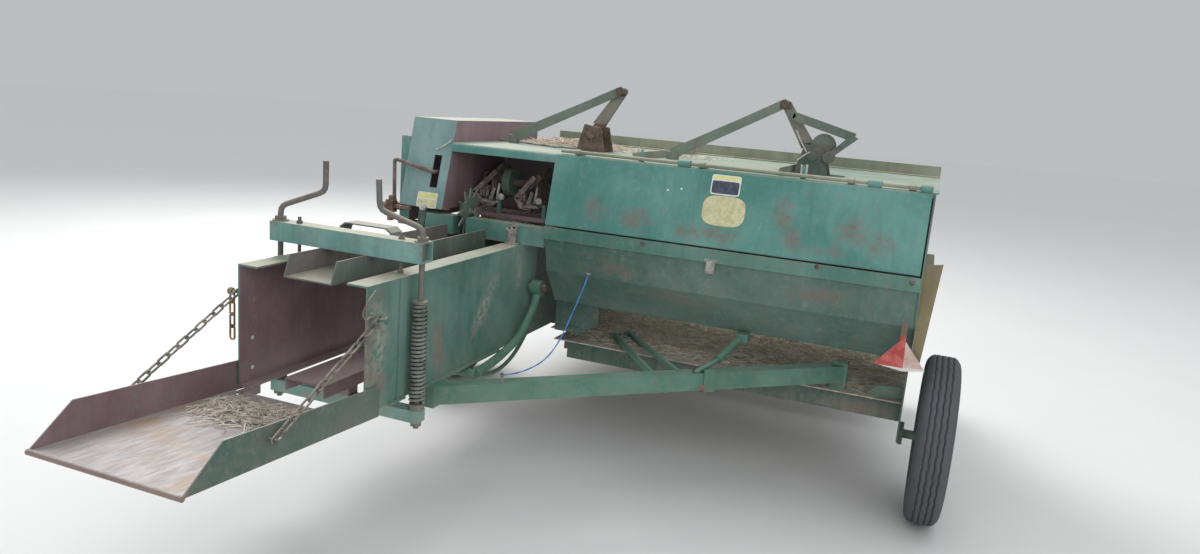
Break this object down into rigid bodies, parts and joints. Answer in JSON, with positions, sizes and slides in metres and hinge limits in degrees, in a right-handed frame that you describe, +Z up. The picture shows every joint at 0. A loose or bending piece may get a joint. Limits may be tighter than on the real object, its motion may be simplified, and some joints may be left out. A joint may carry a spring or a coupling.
{
  "type": "square baler",
  "caption": "Towed small square hay baler with side pickup, sloped feeder hood, open knotters, spring-loaded bale case and a chute on chains.",
  "frame": {"origin": "on the ground below the middle of the outline", "axes": "+X to the machine's right, +Y forward to the hitch, +Z up"},
  "size_m": [2.47, 5.3287, 1.543],
  "materials": {
    "paint": "faded, chalky",
    "paint_light": "faded, chalky",
    "wall_rust": "rusted, worn smooth",
    "worn_steel": "worn, dusty",
    "rusty_iron": "rusty",
    "spring_steel": "dull",
    "tyre": "weathered",
    "rim_paint": "faded",
    "yellow_paint": "faded",
    "guard_plastic": "weathered",
    "red_plastic": "weathered",
    "twine_fibre": "fibrous"
  },
  "bodies": {
    "chassis": {"bale_wall_left": "wall_rust", "bale_wall_right": "paint", "lower_tension_rail": "worn_steel", "upper_tension_rail": "paint_light", "upper_cross_beam": "paint_light", "lower_cross_beam": "paint", "tension_cranks": "rusty_iron", "tension_springs": "spring_steel", "case_wall_left": "paint", "case_wall_right": "paint", "case_floor": "worn_steel", "case_top": "paint", "knotter_base": "paint", "knotter_shaft": "rusty_iron", "knotter_left": "rusty_iron", "knotter_right": "rusty_iron", "knotter_shield": "paint", "trip_arm": "rusty_iron", "hood_top": "paint", "rear_rail": "paint_light", "rear_panels": "paint_light", "end_plate": "paint", "feeder_floor": "worn_steel", "front_beam": "paint_light", "feeder_fork_left": "paint", "feeder_fork_right": "paint", "drive_shield": "yellow_paint", "axle_beam": "paint", "brace_beam": "paint_light", "reflector": "red_plastic", "plunger": "worn_steel", "gearbox": "paint", "front_frame": "paint", "chain_right": "rusty_iron", "chain_left": "rusty_iron", "chain_tail": "rusty_iron", "twine_box": "paint", "twine_guide": "worn_steel", "twine": "twine_fibre"},
    "wheel_right": {"tyre_right": "tyre", "rim_right": "rim_paint"},
    "wheel_left": {"tyre_left": "tyre", "rim_left": "rim_paint"},
    "hood_door": {"hood_door": "paint_light"},
    "needle_frame": {"needle_frame": "paint"},
    "measuring_wheel": {"measuring_wheel": "rusty_iron"},
    "flywheel": {"flywheel": "yellow_paint"},
    "drawbar": {"drawbar": "paint_light", "jack_tube": "worn_steel", "pto_guard": "guard_plastic"},
    "jack_leg": {"jack_leg": "worn_steel"},
    "pickup": {"pickup_frame": "paint", "stripper_bands": "worn_steel", "windguard": "worn_steel"},
    "pickup_reel": {"pickup_reel": "rusty_iron"},
    "chute": {"chute": "worn_steel"},
    "twine_lid": {"twine_lid": "paint_light"}
  },
  "joints": [
    {"name": "wheel_right_roll", "type": "hinge", "parent": "chassis", "child": "wheel_right", "pos_m": [1.171, -0.68543, 0.32], "axis": [1, 0, 0], "continuous": true},
    {"name": "wheel_left_roll", "type": "hinge", "parent": "chassis", "child": "wheel_left", "pos_m": [-1.171, -0.19743, 0.32], "axis": [1, 0, 0], "continuous": true},
    {"name": "hood_door_hinge", "type": "hinge", "parent": "chassis", "child": "hood_door", "pos_m": [0.326, -0.85343, 1.268], "axis": [-1, 0, 0], "range_deg": [0, 80]},
    {"name": "needle_lift", "type": "hinge", "parent": "chassis", "child": "needle_frame", "pos_m": [-0.731, -0.83743, 0.69], "axis": [1, 0, 0], "range_deg": [0, 96]},
    {"name": "measuring_wheel_turn", "type": "hinge", "parent": "chassis", "child": "measuring_wheel", "pos_m": [-0.782, -0.84343, 0.968], "axis": [1, 0, 0], "continuous": true},
    {"name": "flywheel_turn", "type": "hinge", "parent": "chassis", "child": "flywheel", "pos_m": [-0.731, 1.20257, 0.72], "axis": [0, 1, 0], "continuous": true},
    {"name": "drawbar_swing", "type": "hinge", "parent": "chassis", "child": "drawbar", "pos_m": [-0.731, 1.44257, 0.38], "axis": [0, 0, 1], "range_deg": [0, 22]},
    {"name": "jack_slide", "type": "slide", "parent": "drawbar", "child": "jack_leg", "axis": [0, 0, 1], "range_m": [0, 0.26]},
    {"name": "pickup_lift", "type": "hinge", "parent": "chassis", "child": "pickup", "pos_m": [0.269, 0.25057, 0.414], "axis": [1, 0, 0], "range_deg": [0, 14]},
    {"name": "pickup_reel_turn", "type": "hinge", "parent": "pickup", "child": "pickup_reel", "pos_m": [0.269, 0.61257, 0.33], "axis": [1, 0, 0], "continuous": true},
    {"name": "chute_fold", "type": "hinge", "parent": "chassis", "child": "chute", "pos_m": [-0.731, -1.97243, 0.456], "axis": [-1, 0, 0], "range_deg": [0, 70], "deforming": ["chain_right", "chain_left"]},
    {"name": "twine_lid_hinge", "type": "hinge", "parent": "chassis", "child": "twine_lid", "pos_m": [-0.731, 0.27857, 1.082], "axis": [1, 0, 0], "range_deg": [0, 95]}
  ]
}
